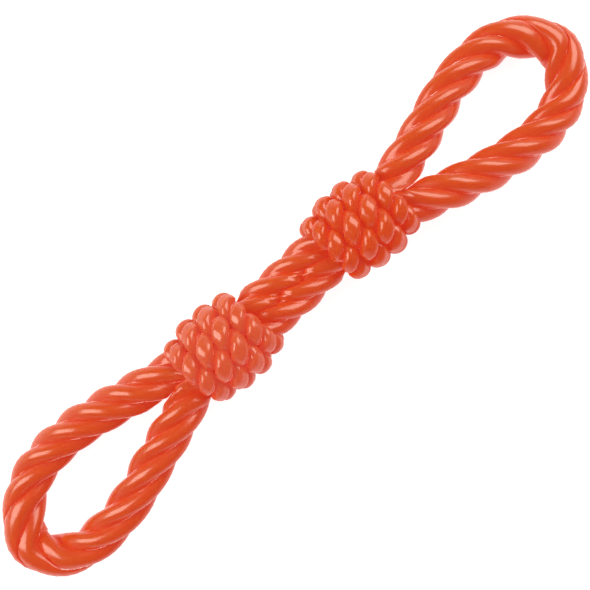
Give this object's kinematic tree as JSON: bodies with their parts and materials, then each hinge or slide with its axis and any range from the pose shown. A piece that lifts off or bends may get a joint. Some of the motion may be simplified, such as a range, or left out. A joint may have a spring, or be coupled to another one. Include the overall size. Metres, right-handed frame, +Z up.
{
  "type": "dog training bumper",
  "caption": "Soft rope tug for dog training: an endless laid rope with a hand loop at each end, bound by two short coils of thinner laid rope, resting on a flat surface.",
  "frame": {"origin": "on the ground under the middle of the tug", "axes": "+X along the length toward coil B and its loop, +Y across the loops, +Z up from the surface it lies on"},
  "size_m": [0.3789, 0.0697, 0.0459],
  "materials": {
    "rope": "glossy, slightly translucent soft elastomer",
    "coil": "glossy, slightly translucent soft elastomer"
  },
  "bodies": {
    "root": {"rope_strand_1": "rope", "rope_strand_2": "rope", "rope_strand_3": "rope", "rope_strand_4": "rope", "rope_heart": "rope", "coil_a_strand_1": "coil", "coil_a_strand_2": "coil", "coil_b_strand_1": "coil", "coil_b_strand_2": "coil"}
  },
  "joints": []
}
